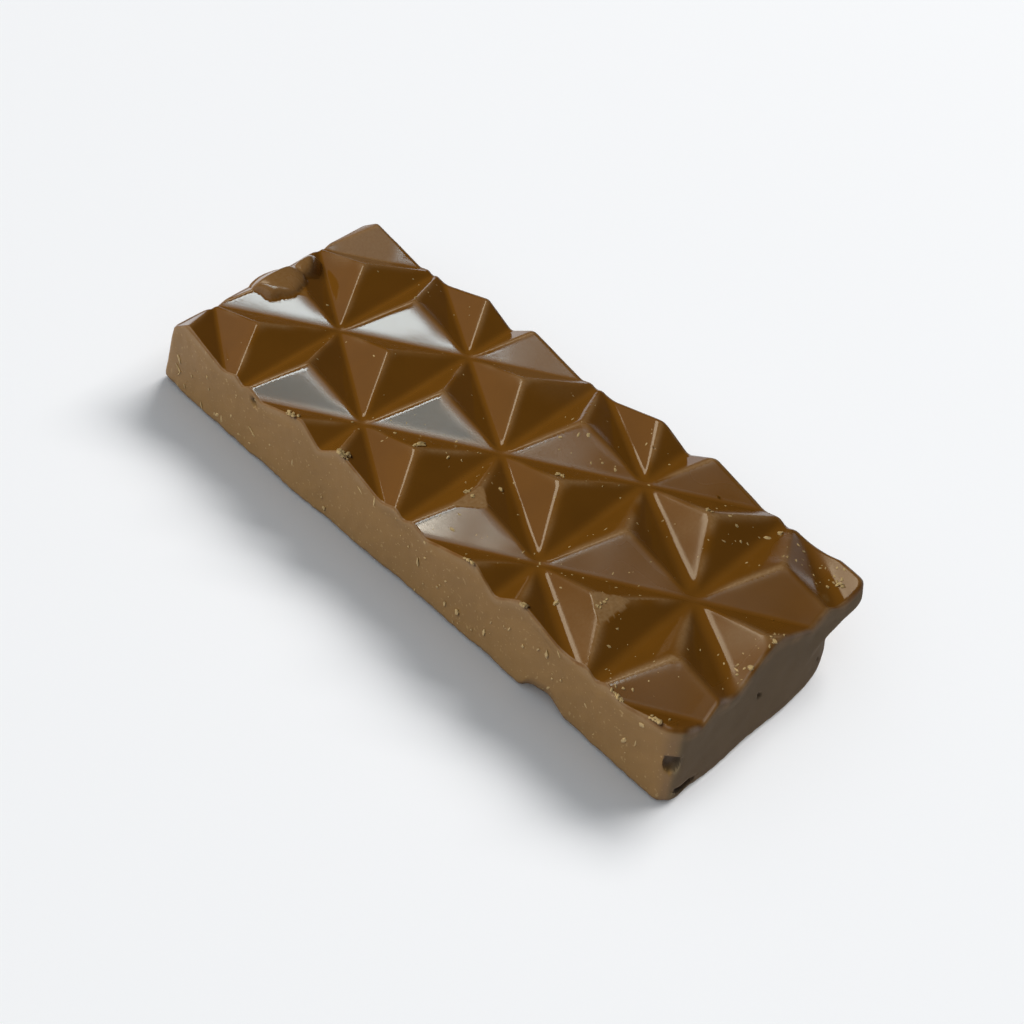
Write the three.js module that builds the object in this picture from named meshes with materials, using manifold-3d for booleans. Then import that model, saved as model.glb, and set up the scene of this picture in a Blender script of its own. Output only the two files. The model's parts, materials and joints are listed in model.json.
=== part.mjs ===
// A snack-size bar of milk chocolate: a flat-based block whose top is a lattice of three-sided
// pyramids that the side walls cut through. Millimetres, +X along the bar, +Y to its back, +Z up.
import * as THREE from "three";
import { mergeVertices } from "three/addons/utils/BufferGeometryUtils.js";
import Module from "manifold-3d";

// The relief: equilateral tiles side by side, each one raised to a pyramid.
const TILE = 20; // side of a tile
const ROW = (TILE * Math.sqrt(3)) / 2; // pitch of the tile rows along the bar
const FACE_SLOPE = THREE.MathUtils.degToRad(33.3); // how steeply a pyramid's faces rise
const RELIEF = (TILE / (2 * Math.sqrt(3))) * Math.tan(FACE_SLOPE); // valley to tip

// The block: its base is at z = 0, and the valleys between the pyramids are at z = BODY.
const BODY = 10.3;
// The walls at valley level, measured from the tile corner that the lattice is drawn from.
const WALL = { left: -17, right: 82.3, front: -17.75, back: 18.5 };
// How much further out each wall stands at the base.
const FLARE = { left: 1.9, right: 1.4, front: 2, back: 0.4 };
// Radii of the upright corners, in plan. The back right one is rounder at the base, and tightens
// towards its radius at the relief.
const CORNER = { frontLeft: 1.2, frontRight: 2, backRight: 9, backLeft: 0.6 };
const BACK_RIGHT_TOP = 2.4;

// Wear: tips that broke off flat, a nick in the lower front edge and a smear over the left one.
const BROKEN_TIPS = [
  { row: -2 / 3, across: 0, lost: 0.6, lean: 0 },
  { row: 7 / 3, across: -0.5, lost: 0.8, lean: 6 },
  { row: 11 / 3, across: -0.5, lost: 0.9, lean: -5 },
];
const NICK = { at: [62.6, -20, 0], radii: [4.4, 1.6, 1.7] };
const SMEAR = { at: [-13.6, -1.4, BODY + 1.2], radii: [4.6, 4.6, 1.3] };

// Air bubbles that the mould left open at the right end.
const BUBBLES = [
  { at: [82.15, -18, BODY - 2.4], radii: [1.15, 1.15, 0.95] },
  { at: [83.3, -15.9, 1.7], radii: [0.9, 2.2, 0.75] },
];

// How far the pieces that are joined or cut run past each other.
const OVERLAP = 2;
// Distances below this are taken as none.
const ROUNDING = 1e-6;
const CORNER_SEGMENTS = 10;
const WALL_STEPS = 11;
const BALL_SEGMENTS = 16;

const MILK_CHOCOLATE = new THREE.MeshStandardMaterial({
  color: 0x6b4526,
  roughness: 0.32,
  metalness: 0,
});

const wasm = await Module();
wasm.setup();

// A closed three.js geometry as a solid that can be joined and cut.
function solid(geometry) {
  const bare = geometry.clone();
  bare.deleteAttribute("normal");
  bare.deleteAttribute("uv");
  const merged = mergeVertices(bare);
  return new wasm.Manifold(
    new wasm.Mesh({
      numProp: 3,
      vertProperties: new Float32Array(merged.attributes.position.array),
      triVerts: new Uint32Array(merged.index.array),
    }),
  );
}

// The solid's surface, flat-shaded, as three.js geometry.
function geometryOf(made) {
  const mesh = made.getMesh();
  const geometry = new THREE.BufferGeometry();
  geometry.setAttribute("position", new THREE.BufferAttribute(mesh.vertProperties, 3));
  geometry.setIndex(new THREE.BufferAttribute(mesh.triVerts, 1));
  const flat = geometry.toNonIndexed();
  flat.computeVertexNormals();
  return flat;
}

function ellipsoid({ at, radii }) {
  const ball = new THREE.SphereGeometry(1, BALL_SEGMENTS, BALL_SEGMENTS / 2);
  return solid(ball.scale(...radii).translate(...at));
}

// Draws a point of the back right corner's arc to the radius that the corner has at that rise.
function tightenBackRight(place, i, right, back, rise) {
  const x = place.getX(i) - (right - CORNER.backRight);
  const y = place.getY(i) - (back - CORNER.backRight);
  const onArc = x > -ROUNDING && y > -ROUNDING;
  if (!onArc) return;
  const radius = THREE.MathUtils.lerp(CORNER.backRight, BACK_RIGHT_TOP, rise);
  const scale = radius / CORNER.backRight;
  place.setXY(i, right - radius + x * scale, back - radius + y * scale);
}

// The block without its relief: an outline with rounded corners, drawn at the base and drawn in
// evenly towards the top so that each wall leans by its flare.
function envelope() {
  const left = WALL.left - FLARE.left;
  const right = WALL.right + FLARE.right;
  const front = WALL.front - FLARE.front;
  const back = WALL.back + FLARE.back;
  const quarter = Math.PI / 2;
  const outline = new THREE.Shape();
  const round = (x, y, radius, start) => outline.absarc(x, y, radius, start, start + quarter);
  round(left + CORNER.frontLeft, front + CORNER.frontLeft, CORNER.frontLeft, 2 * quarter);
  round(right - CORNER.frontRight, front + CORNER.frontRight, CORNER.frontRight, 3 * quarter);
  round(right - CORNER.backRight, back - CORNER.backRight, CORNER.backRight, 0);
  round(left + CORNER.backLeft, back - CORNER.backLeft, CORNER.backLeft, quarter);
  const block = new THREE.ExtrudeGeometry(outline, {
    depth: BODY + RELIEF + OVERLAP,
    bevelEnabled: false,
    curveSegments: CORNER_SEGMENTS,
    steps: WALL_STEPS,
  });
  const place = block.attributes.position;
  for (let i = 0; i < place.count; i++) {
    const rise = place.getZ(i) / BODY;
    tightenBackRight(place, i, right, back, Math.min(rise, 1));
    const along = (place.getX(i) - left) / (right - left);
    const across = (place.getY(i) - front) / (back - front);
    const drawnX = THREE.MathUtils.lerp(FLARE.left, -FLARE.right, along);
    const drawnY = THREE.MathUtils.lerp(FLARE.front, -FLARE.back, across);
    place.setX(i, place.getX(i) + rise * drawnX);
    place.setY(i, place.getY(i) + rise * drawnY);
  }
  return solid(block);
}

// One pyramid over the tile whose middle is given, run on below the valleys at the same slope so
// that neighbours meet in a clean valley.
function pyramid(x, y, pointsLeft) {
  const height = RELIEF + OVERLAP;
  const radius = (TILE / Math.sqrt(3)) * (height / RELIEF);
  const cone = new THREE.ConeGeometry(radius, height, 3);
  cone.rotateX(Math.PI / 2);
  cone.rotateZ(pointsLeft ? -Math.PI / 2 : Math.PI / 2);
  return solid(cone.translate(x, y, BODY + RELIEF - height / 2));
}

// Every pyramid that the block's walls reach, on a slab that ends just below the valleys.
function reliefSlab() {
  const length = WALL.right - WALL.left + 2 * TILE;
  const width = WALL.back - WALL.front + 2 * TILE;
  const depth = BODY - OVERLAP / 2;
  const middleX = (WALL.left + WALL.right) / 2;
  const middleY = (WALL.front + WALL.back) / 2;
  const slab = new THREE.BoxGeometry(length, width, depth);
  let made = solid(slab.translate(middleX, middleY, depth / 2));
  const firstRow = Math.floor(WALL.left / ROW) - 1;
  const lastRow = Math.ceil(WALL.right / ROW);
  const halfTile = TILE / 2;
  const lastHalf = Math.ceil(WALL.back / halfTile) + 1;
  for (let row = firstRow; row <= lastRow; row++) {
    for (let half = -lastHalf; half <= lastHalf; half++) {
      const pointsLeft = (row + half) % 2 === 0;
      const x = (row + (pointsLeft ? 2 : 1) / 3) * ROW;
      made = made.add(pyramid(x, half * halfTile, pointsLeft));
    }
  }
  return made;
}

// What is missing above a tip that broke off: a block that lies on the break.
function tipCut({ row, across, lost, lean }) {
  const size = TILE / 2;
  const block = new THREE.BoxGeometry(size, size, size).translate(0, 0, size / 2);
  block.rotateY(THREE.MathUtils.degToRad(lean));
  return solid(block.translate(row * ROW, across * TILE, BODY + RELIEF - lost));
}

function chocolateBar() {
  let made = reliefSlab().add(ellipsoid(SMEAR)).intersect(envelope());
  const cuts = [...BROKEN_TIPS.map(tipCut), ellipsoid(NICK), ...BUBBLES.map(ellipsoid)];
  for (const cut of cuts) made = made.subtract(cut);
  const mesh = new THREE.Mesh(geometryOf(made), MILK_CHOCOLATE);
  mesh.name = "chocolate_bar";
  return mesh;
}

// The base's middle is the origin.
const bar = chocolateBar();
bar.position.x = -(WALL.left - FLARE.left + WALL.right + FLARE.right) / 2;
bar.position.y = -(WALL.front - FLARE.front + WALL.back + FLARE.back) / 2;

const group = new THREE.Group();
group.add(bar);

export default group;
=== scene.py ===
"""The looks of a snack-size milk chocolate bar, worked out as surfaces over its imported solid."""

import json
import math

import bpy
import numpy as np
from mathutils import Matrix, Vector

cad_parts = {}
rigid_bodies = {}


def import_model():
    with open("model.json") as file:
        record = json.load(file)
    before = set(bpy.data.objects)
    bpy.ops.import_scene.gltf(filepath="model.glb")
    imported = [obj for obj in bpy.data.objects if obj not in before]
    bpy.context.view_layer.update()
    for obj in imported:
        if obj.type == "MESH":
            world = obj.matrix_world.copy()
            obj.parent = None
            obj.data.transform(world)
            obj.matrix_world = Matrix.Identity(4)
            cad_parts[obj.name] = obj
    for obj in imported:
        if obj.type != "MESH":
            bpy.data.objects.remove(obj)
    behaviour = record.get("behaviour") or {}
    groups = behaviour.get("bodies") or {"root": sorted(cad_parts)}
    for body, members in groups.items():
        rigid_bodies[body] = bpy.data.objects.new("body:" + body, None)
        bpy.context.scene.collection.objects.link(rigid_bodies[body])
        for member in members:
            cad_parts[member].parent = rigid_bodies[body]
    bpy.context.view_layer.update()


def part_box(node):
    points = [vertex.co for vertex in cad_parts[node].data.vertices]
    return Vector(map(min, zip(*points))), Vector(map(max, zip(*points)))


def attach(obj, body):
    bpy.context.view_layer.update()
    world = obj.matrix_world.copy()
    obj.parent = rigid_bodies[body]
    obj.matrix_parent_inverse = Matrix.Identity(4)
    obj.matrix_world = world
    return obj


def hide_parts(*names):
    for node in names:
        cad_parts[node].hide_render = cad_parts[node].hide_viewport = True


bl_info = {
    "name": "Milk Chocolate Bar",
    "version": (1, 0, 0),
    "blender": (4, 5, 0),
    "location": "3D View > Sidebar > Chocolate",
    "description": "A moulded chocolate bar with a relief of pyramids, its crumbs and its studio",
    "category": "Add Mesh",
}

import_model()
BAR_LOW, BAR_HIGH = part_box("chocolate_bar")
MM = 0.001
# Keeps a division by a length from failing where the length is 0.
TINY = 1e-12


def length(millimetres, name, description):
    """A size in metres, given here in millimetres."""
    return bpy.props.FloatProperty(
        name=name, description=description, default=millimetres * MM, unit="LENGTH", precision=5
    )


def angle(degrees, name, description):
    return bpy.props.FloatProperty(
        name=name, description=description, default=math.radians(degrees), subtype="ANGLE"
    )


def number(value, name, description):
    return bpy.props.FloatProperty(name=name, description=description, default=value)


def colour(red, green, blue, name, description):
    return bpy.props.FloatVectorProperty(
        name=name, description=description, default=(red, green, blue), size=3, subtype="COLOR", min=0, max=1
    )


class ChocolateBarSizes(bpy.types.PropertyGroup):
    """Sizes of the bar that its packed box doesn't give."""

    tile: length(20, "Tile side", "Side of one equilateral tile, which carries one pyramid")
    face_slope: angle(33.3, "Face slope", "How steeply a pyramid's faces rise")
    corner_along: length(
        18.9, "First tile corner, along", "From the left end of the base to a corner of the tiles"
    )
    corner_across: length(19.75, "First tile corner, across", "From the front of the base to that corner")
    flare_left: length(
        1.9, "Left flare", "How much further out the left end stands at the base than at the valleys"
    )
    flare_right: length(1.4, "Right flare", "How much further out the right end stands at the base")
    flare_front: length(2.0, "Front flare", "How much further out the front wall stands at the base")
    flare_back: length(0.4, "Back flare", "How much further out the back wall stands at the base")
    round_front_left: length(1.2, "Front left corner", "Radius of the upright corner at the front left")
    round_front_right: length(3.0, "Front right corner", "Radius of the front right corner, at the relief")
    foot_front_right: length(2.6, "Front right foot", "Radius of the front right corner at the base")
    round_back_right: length(1.5, "Back right corner", "Radius of the back right corner, at the relief")
    round_back_left: length(0.3, "Back left corner", "Radius of the upright corner at the back left")
    foot_back_right: length(11, "Back right foot", "Radius of the back right corner at the base")
    ridge_round: length(
        0.42, "Ridge rounding", "About a third of the width over which two faces run into each other"
    )
    valley_round: length(0.65, "Valley rounding", "Half the width of the rounded floor of a valley")
    rim_front: length(0.3, "Front rim", "Radius of the edge between the relief and the walls, at the front")
    rim_back: length(0.7, "Back rim", "Radius of that edge at the back")
    rim_left: length(0.6, "Left rim", "Radius of that edge at the left end")
    rim_right: length(0.6, "Right rim", "Radius of that edge at the right end")
    base_round: length(0.9, "Base rounding", "Radius of the lower edge of the walls")
    blunt_corner: length(1.3, "Blunt corner", "How much larger that radius is at the front left corner")
    cells: bpy.props.IntProperty(
        name="Cells",
        description="Steps of the surface's grid from one row of tile corners to the next",
        default=50,
    )


class ChocolateColours(bpy.types.PropertyGroup):
    """Colours of the chocolate, its crumbs and the studio, linear."""

    chocolate: colour(0.157, 0.0555, 0.0055, "Chocolate", "Fresh glossy milk chocolate")
    wall: colour(0.235, 0.115, 0.03, "Walls", "The satin side walls")
    end: colour(0.166, 0.113, 0.064, "Right end", "The dull right end")
    # Pale colour for real wear on the rims, tips, rubbed places and broken faces, and also for painted
    # highlights on the ridges, a painted sheen on some faces and the smear, and painted light at the walls'
    # foot.
    worn: colour(0.30, 0.175, 0.085, "Worn edges", "Rubbed ridges and rims, and broken faces")
    # Painted shade: a dark colour that stands in for the shade inside the open bubbles.
    hollow: colour(0.035, 0.02, 0.01, "Hollows", "The inside of the open bubbles")
    crumb: colour(0.5, 0.32, 0.14, "Crumbs", "Loose crumbs and dust")
    floor: colour(0.93, 0.94, 0.955, "Floor", "The pale studio floor")


class StudioSettings(bpy.types.PropertyGroup):
    """Where the camera and the lights stand."""

    lens: number(48.53, "Lens", "Focal length for a 36 mm wide picture, in millimetres")
    azimuth: angle(45.02, "Azimuth", "Direction that the camera looks from, round the bar from its front")
    elevation: angle(48.41, "Elevation", "How far the camera looks down")
    roll: angle(1.37, "Roll", "How far the camera is turned about its own axis")
    distance: length(185.4, "Distance", "From the camera to the point it looks at")
    aim_along: length(8.8, "Aim along", "Point that the camera looks at, along the bar")
    aim_across: length(-3.75, "Aim across", "Point that the camera looks at, across the bar")
    aim_height: length(7, "Aim height", "Point that the camera looks at, above the floor")
    window: number(10.8, "Window", "Power of the bright strip that the left faces mirror, in watts")
    sky: number(1.1, "Sky", "Power of the bluish strip beside it, in watts")
    glint: number(3.8, "Glint", "Power of the small panel below that strip, in watts")
    shine: number(0.22, "Shine", "Power of the small panel at the end of that strip, in watts")
    gleam: number(14.5, "Gleam", "Power of the panel up on the left, which the ridges mirror, in watts")
    soft: number(45, "Soft light", "Power of the wide panel overhead, which has no reflection, in watts")
    side: number(1.3, "Side", "Power of the panel at the left end, in watts")
    front: number(2.6, "Front", "Power of the panel in front of the bar, in watts")
    floor_lamp: number(372, "Floor lamp", "Power of the panel behind, which lights the floor, in watts")
    floor_fill: number(34, "Floor fill", "Power of the wide panel overhead, which lights the floor, in watts")
    fill: number(0.02, "Fill", "Brightness of the dim studio round the bar")


# Surfaces

# Random waves, by what they make uneven: their length and their seed.
WAVES = {
    "ridges": (22 * MM, 2),
    "faces": (9 * MM, 3),
    "smear": (4 * MM, 5),
    "haze": (11 * MM, 9),
    "breaks": (1.5 * MM, 11),
    "wear_and_highlights": (8 * MM, 15),
    "foot": (6 * MM, 21),
    "foot_crumble": (1.6 * MM, 22),
    "walls": (14 * MM, 31),
    "wall_grain": (2.5 * MM, 32),
    "rim": (3 * MM, 33),
    "dust": (15 * MM, 46),
}
WAVE_COUNT = 16
# Least and most waves in one wavelength.
WAVE_SPREAD = (0.7, 1.4)


def ripple(points, name):
    """A random wavy field: the sum of plane waves in all directions, each about one wavelength long.
    points is any array of places, and the values are mostly from -1 to 1."""
    wavelength, seed = WAVES[name]
    rng = np.random.default_rng(seed)
    heading = rng.normal(size=(WAVE_COUNT, points.shape[-1]))
    heading /= np.linalg.norm(heading, axis=1, keepdims=True)
    heading *= 2 * math.pi / wavelength * rng.uniform(*WAVE_SPREAD, (WAVE_COUNT, 1))
    phase = rng.uniform(0, 2 * math.pi, WAVE_COUNT)
    return np.sin(points @ heading.T + phase).sum(-1) / math.sqrt(WAVE_COUNT)


def smooth_step(value):
    """0 below 0, 1 above 1, and 3 v^2 - 2 v^3 between."""
    held = np.clip(value, 0, 1)
    return held * held * (3 - 2 * held)


def ramp(value, start, over):
    """0 up to the start, and from there a smooth step to 1 over that length."""
    return smooth_step((value - start) / over)


def grown(share, far):
    """A share of two numbers: the one at the left, and what the right end adds to it."""
    return share[0] + share[1] * far


def soft_min(fields, width):
    """The smallest of several fields, rounded where two of them differ by less than about three widths:
    -width ln(sum(exp(-field / width)))."""
    least = fields.min(axis=0)
    return least - width * np.log(np.exp((least - fields) / width).sum(axis=0))


# Directions that faces of the relief look in, in degrees round from the bar's long axis. A face starts to
# count when its normal leans that way by the first number, and counts in full after the second one more.
BACK_LEFT, FRONT_LEFT, FRONT_RIGHT = 120, 240, 300
LOOKING = (0.3, 0.15)


def looking(normal, degrees):
    """1 where a face with that normal looks in a direction, else 0."""
    turn = math.radians(degrees)
    return ramp(normal[..., 0] * math.cos(turn) + normal[..., 1] * math.sin(turn), *LOOKING)


class Relief:
    """The moulded top: heights over the base at places in the bar's plan."""

    # Turns of the three families of parallel valleys, and how wide each family's floors are, at the left
    # and at the right.
    TURNS = (0, math.pi / 3, 2 * math.pi / 3)
    FLOORS = (1, 1, 0.25)
    RIGHT_FLOORS = (1, 1.6, 0.5)
    # How soft ridges and valleys are at the left, and what the right end adds. How far the ridges' rounding
    # varies. Ridges along the bar lose a share of it, in full where the distances to the two farther valleys
    # differ by this much.
    SOFT = (0.75, 0.55)
    RIDGE_VARIES = 0.3
    SHARPER, SHARPER_OVER = 0.5, 1.5 * MM
    # Heights of the waves in the faces and in the broken tips.
    FACE_WAVE, BREAK_WAVE = 0.018 * MM, 0.03 * MM
    # Where from the tile corner the right part of the bar and the haze on its faces set in, over what length.
    FAR, HAZE = (44 * MM, 24 * MM), (30 * MM, 12 * MM)
    # Tips that broke off flat: rows along, tiles across, height lost and lean of the break.
    BROKEN_TIPS = ((7 / 3, -0.5, 0.95 * MM, 0.10), (11 / 3, -0.5, 1.05 * MM, -0.09))
    # A smear of chocolate on the left end, over a tip worn down to this height above the valleys. Each
    # lobe's place from the tile corner, half length, half width, turn and thickness, and how uneven the
    # lobes' edges are.
    SMEAR_TOP = 2.3 * MM
    SMEAR = (
        (-13.0 * MM, -0.9 * MM, 4.5 * MM, 3.5 * MM, math.radians(27), 1.1 * MM),
        (-13.4 * MM, 4.8 * MM, 3.3 * MM, 1.9 * MM, math.radians(128), 0.75 * MM),
    )
    SMEAR_WAVE = 0.04
    # Rubbed places: from the tile corner, radius, how dull and how pale.
    RUBBED = (
        (-11.5 * MM, 14.5 * MM, 7 * MM, 0.9, 0.46),
        (27 * MM, 16.5 * MM, 9 * MM, 0.45, 0.2),
        (74.5 * MM, 14.5 * MM, 5 * MM, 0.8, 0),
    )
    # How pale and how dull other places are, as shares of the whole. The paleness on the ridges is partly
    # wear and partly painted highlight, that on the faces that look to the front left is painted sheen, and
    # that on the smear partly so. Here and in the widths below, a second number is what the right end adds.
    PALE_RIDGE, PALE_TIP, PALE_SMEAR, PALE_BREAK = 0.6, 0.6, 0.5, 0.78
    PALE_CLIMBING, PALE_FRONT_LEFT = (0.5, 0.4), (0, 0.25)
    LESS_PALE_LENGTHWISE = 0.7
    DULL_HAZE, DULL_FRONT_LEFT = (0.22, 0.38), (0, 0.25)
    DULL_BACK_LEFT, DULL_SMEAR, DULL_VALLEY, DULL_END = 0.3, 0.22, 0.7, 0.8
    DULL_LENGTHWISE, DULL_CLIMBING = 0.8, 0.35
    # Middle and swing of the patches in the paleness and in the haze.
    WEAR_PATCHES, HAZE_PATCHES = (0.55, 0.5), (0.8, 0.25)
    # Widths of the pale and dull ridges and valleys.
    PALE_WIDTH, PALE_CLIMBING_WIDTH = (0.8 * MM, 0.4 * MM), 1.2 * MM
    DULL_LENGTHWISE_WIDTH, DULL_CLIMBING_WIDTH, DULL_VALLEY_WIDTH = 1.6 * MM, 1.0 * MM, 0.6 * MM
    # The dull strip at the right end: its width, the share of it that is full, where across the bar it ends
    # and over what length.
    END_STRIP, END_STRIP_FULL = 2.5 * MM, 0.4
    END_STRIP_BACK, END_STRIP_FADE = 10 * MM, 3 * MM
    # Where a ridge sets in, from the valleys, and a tip, in shares of the way up, and over what length.
    RIDGE, TIP = (0.6 * MM, 2 * MM), (0.75, 0.2)
    # A ridge's flank whose normal leans less than this to the right counts as climbing from the left.
    CLIMBING = 0.1
    # Thinner than this a smear or a break doesn't count.
    SMEAR_SKIN, BREAK_SKIN = 0.02 * MM, 0.004 * MM
    SLOPE_STEP = 0.05 * MM

    def __init__(self, sizes):
        self.sizes = sizes
        self.row = sizes.tile * math.sqrt(3) / 2
        self.tangent = math.tan(sizes.face_slope)
        self.inner = sizes.tile / (2 * math.sqrt(3))
        self.rise = self.inner * self.tangent
        self.body = BAR_HIGH.z - self.rise
        self.corner = np.array([BAR_LOW.x + sizes.corner_along, BAR_LOW.y + sizes.corner_across])

    def valleys(self, x, y):
        """Distances to the nearest valley of each of the three families of parallel lines that bound
        the tiles, one tile height apart."""
        away = []
        for turn in self.TURNS:
            count = ((x - self.corner[0]) * math.cos(turn) + (y - self.corner[1]) * math.sin(turn)) / self.row
            away.append(np.abs(count - np.round(count)) * self.row)
        return np.stack(away)

    def height(self, x, y):
        """Slope times the smallest distance to a valley. Ridges are rounded, more so near the tips and
        towards the right end and less so where they run along the bar, and so are the valleys' floors.
        Then the broken tips are cut by their planes, and the smear is laid on as domes over the slope that
        faces the left end."""
        place = np.stack([x, y], -1)
        soft = grown(self.SOFT, ramp(x, BAR_LOW.x, BAR_HIGH.x - BAR_LOW.x))
        away = self.valleys(x, y)
        _, middle, farthest = np.sort(away, axis=0)
        near_tip = (1 + away.min(axis=0) / self.inner) / 2
        uneven = 1 + self.RIDGE_VARIES * np.clip(ripple(place, "ridges"), -1, 1)
        sharper = self.running(x, y, 0) * smooth_step((farthest - middle) / self.SHARPER_OVER)
        ridge = self.sizes.ridge_round * soft * uneven * near_tip * (1 - self.SHARPER * sharper)
        far = self.far(x)
        floor = self.sizes.valley_round * soft * np.stack([
            left + (right - left) * far for left, right in zip(self.FLOORS, self.RIGHT_FLOORS)
        ])
        away = np.where(away < floor, (away**2 + floor**2) / (2 * floor), away)
        z = self.body + self.tangent * soft_min(away, ridge) + self.FACE_WAVE * ripple(place, "faces")
        z = np.minimum(z, self.breaks(x, y))
        from_tip = np.hypot(x - self.corner[0] + self.row * 2 / 3, y - self.corner[1])
        z = np.where(from_tip < self.sizes.tile / 3, np.minimum(z, self.body + self.SMEAR_TOP), z)
        level = self.body + np.minimum(self.tangent * (x - self.corner[0] + self.row), self.SMEAR_TOP)
        even, thick = self.smear(x, y)
        return z + np.maximum(level - z, 0) * even + thick

    def far(self, x):
        """0 in the left half of the bar, rising to 1 near its right end."""
        return ramp(x - self.corner[0], *self.FAR)

    def breaks(self, x, y):
        """Height of the rough plane that a tip broke off at, far above the bar away from such a tip."""
        place = np.stack([x, y], -1)
        rough = self.BREAK_WAVE * ripple(place, "breaks")
        limit = np.full(np.shape(x), np.inf)
        for row, across, lost, lean in self.BROKEN_TIPS:
            dx = x - self.corner[0] - row * self.row
            dy = y - self.corner[1] - across * self.sizes.tile
            plane = self.body + self.rise - lost + lean * dx + rough
            limit = np.where(np.hypot(dx, dy) < self.sizes.tile / 4, np.minimum(limit, plane), limit)
        return limit

    def smear(self, x, y):
        """How far the smear evens out what lies below it, and its thickness: for each lobe, 1 less the
        square of the distance from its middle, measured in its half length and half width, and the root of
        1 less that distance's third power."""
        place = np.stack([x, y], -1)
        even = np.zeros(np.shape(x))
        thick = np.zeros(np.shape(x))
        for along, across, long, wide, turn, depth in self.SMEAR:
            dx = x - self.corner[0] - along
            dy = y - self.corner[1] - across
            down = (dx * math.cos(turn) + dy * math.sin(turn)) / long
            over = (dy * math.cos(turn) - dx * math.sin(turn)) / wide
            reach = np.hypot(down, over) + self.SMEAR_WAVE * ripple(place, "smear")
            even = np.maximum(even, np.clip(1 - reach**2, 0, 1))
            thick = np.maximum(thick, depth * np.sqrt(np.clip(1 - reach**3, 0, 1)))
        return even, thick

    def ridges(self, x, y, width):
        """1 on a ridge, falling to 0 within about that width, and 0 near the valleys."""
        near, middle, _ = np.sort(self.valleys(x, y), axis=0)
        return np.exp(-((middle - near) / width) ** 2) * ramp(near, *self.RIDGE)

    def tips(self, x, y):
        """1 on the tips, falling to 0 within a quarter of the height."""
        return ramp(self.valleys(x, y).min(axis=0) / self.inner, *self.TIP)

    def running(self, x, y, family):
        """1 on the ridges that run square to one family of valleys, and beside them; else 0."""
        return (self.valleys(x, y).argmax(axis=0) == family).astype(float)

    def lengthwise(self, x, y, normal):
        """1 on the ridges that fall along the bar to the right, and beside them; else 0."""
        return self.running(x, y, 0) * (normal[..., 0] > 0)

    def climbing(self, x, y, normal):
        """1 on the ridges that climb from the front left, and beside them; else 0."""
        return self.running(x, y, 1) * (normal[..., 0] < self.CLIMBING)

    def within(self, x, y, along, across, radius):
        """1 at a place given from the tile corner, falling to 0 from half the radius to the whole."""
        reach = np.hypot(x - self.corner[0] - along, y - self.corner[1] - across) / radius
        return smooth_step(2 - 2 * reach)

    def smeared(self, x, y):
        """1 under the smear, else 0."""
        return self.smear(x, y)[1] > self.SMEAR_SKIN

    def patches(self, x, y, name, middle, swing):
        """Soft patches from 0 to 1: a random wave about a middle value."""
        return np.clip(middle + swing * ripple(np.stack([x, y], -1), name), 0, 1)

    def wear_and_highlights(self, x, y):
        """The most of several shares of paleness: on the ridges and tips in patches, broader on the ridges
        that climb from the front left and paler there towards the right end, on the faces at the right that
        look to the front left, on the smear, on the broken faces and on the rubbed places. The ridges'
        paleness is partly wear and partly painted highlight, the faces' a painted sheen, and the smear's
        partly a painted sheen."""
        normal = self.normals(x, y)
        far = self.far(x)
        patches = self.patches(x, y, "wear_and_highlights", *self.WEAR_PATCHES)
        lengthwise = self.lengthwise(x, y, normal)
        pale = self.ridges(x, y, grown(self.PALE_WIDTH, far)) * (1 - self.LESS_PALE_LENGTHWISE * lengthwise)
        climbing = self.climbing(x, y, normal) * self.ridges(x, y, self.PALE_CLIMBING_WIDTH)
        broken = self.height(x, y) > self.breaks(x, y) - self.BREAK_SKIN
        shares = [most * self.within(x, y, *place) for *place, _, most in self.RUBBED]
        shares += [
            # Partly wear and partly painted highlights: paler ridges, broader and paler on those that climb
            # from the front left.
            self.PALE_RIDGE * patches * pale,
            grown(self.PALE_CLIMBING, far) * climbing,
            # Painted sheen: at the right, the faces that look to the front left, towards the lamps, are
            # paler.
            grown(self.PALE_FRONT_LEFT, far) * patches * looking(normal, FRONT_LEFT),
            self.PALE_TIP * patches * self.tips(x, y),
            # Paler on the smear, partly a painted sheen.
            self.PALE_SMEAR * self.smeared(x, y),
            self.PALE_BREAK * broken,
        ]
        return np.max(shares, axis=0)

    def dullness(self, x, y):
        """The most of several shares: on the rubbed places and near the right end's rim, less on the smear,
        on the ridges that run along the bar or climb from the front left, in the valleys below the left
        faces, on the faces that look to the back left, and towards the right end on those that look to the
        front."""
        normal = self.normals(x, y)
        far = self.far(x)
        haze = self.DULL_HAZE[0] * ramp(x - self.corner[0], *self.HAZE) + self.DULL_HAZE[1] * far
        haze = haze * self.patches(x, y, "haze", *self.HAZE_PATCHES)
        lengthwise = self.lengthwise(x, y, normal) * self.ridges(x, y, self.DULL_LENGTHWISE_WIDTH)
        climbing = self.climbing(x, y, normal) * self.ridges(x, y, self.DULL_CLIMBING_WIDTH)
        to_end = BAR_HIGH.x - self.sizes.flare_right - x
        strip = smooth_step(1 + self.END_STRIP_FULL - to_end / self.END_STRIP)
        strip = strip * smooth_step((self.corner[1] + self.END_STRIP_BACK - y) / self.END_STRIP_FADE)
        shares = [most * self.within(x, y, *place) for *place, most, _ in self.RUBBED]
        shares += [
            haze * looking(normal, FRONT_RIGHT),
            grown(self.DULL_FRONT_LEFT, far) * looking(normal, FRONT_LEFT),
            self.DULL_BACK_LEFT * looking(normal, BACK_LEFT),
            self.DULL_LENGTHWISE * lengthwise,
            self.DULL_CLIMBING * climbing,
            self.DULL_VALLEY * np.exp(-(self.valleys(x, y)[2] / self.DULL_VALLEY_WIDTH) ** 2),
            self.DULL_END * strip,
            self.DULL_SMEAR * self.smeared(x, y),
        ]
        return np.max(shares, axis=0)

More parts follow.
